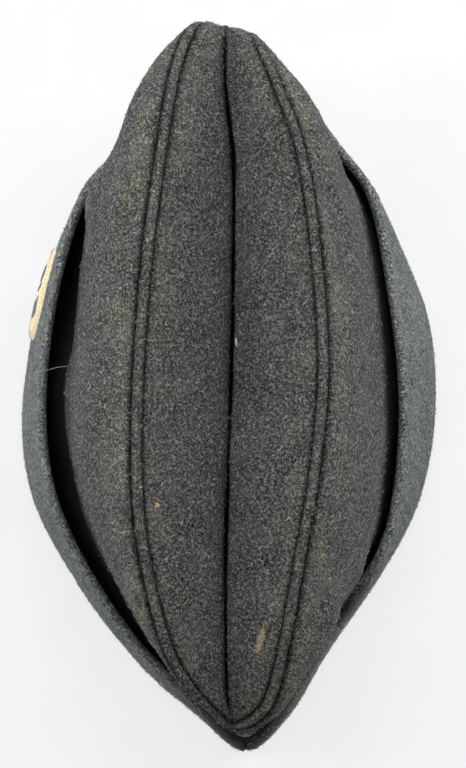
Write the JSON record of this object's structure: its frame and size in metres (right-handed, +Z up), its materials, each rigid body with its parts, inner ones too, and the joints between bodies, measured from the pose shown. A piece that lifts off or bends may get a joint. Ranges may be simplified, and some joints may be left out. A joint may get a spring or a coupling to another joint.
{
  "type": "garrison cap",
  "caption": "Boat-shaped wool side cap, opened out and standing on its rim, with a folded top insert and a turned-up flap all round.",
  "frame": {"origin": "on the ground, under the middle of the cap's outline", "axes": "+Y to the front of the cap, +X to the wearer's right, +Z up"},
  "size_m": [0.1489, 0.2432, 0.109],
  "materials": {
    "crown_wool": "milled blue-grey wool cloth, matt, with pale and dark fibres mixed",
    "flap_wool": "milled blue-grey wool cloth, matt, with pale and dark fibres mixed",
    "badge_felt": "cream felt with a matt nap"
  },
  "bodies": {
    "root": {"crown_side_left": "crown_wool", "crown_side_right": "crown_wool", "crown_insert": "crown_wool", "flap_left": "flap_wool", "flap_right": "flap_wool", "badge_patch": "badge_felt"}
  },
  "joints": []
}
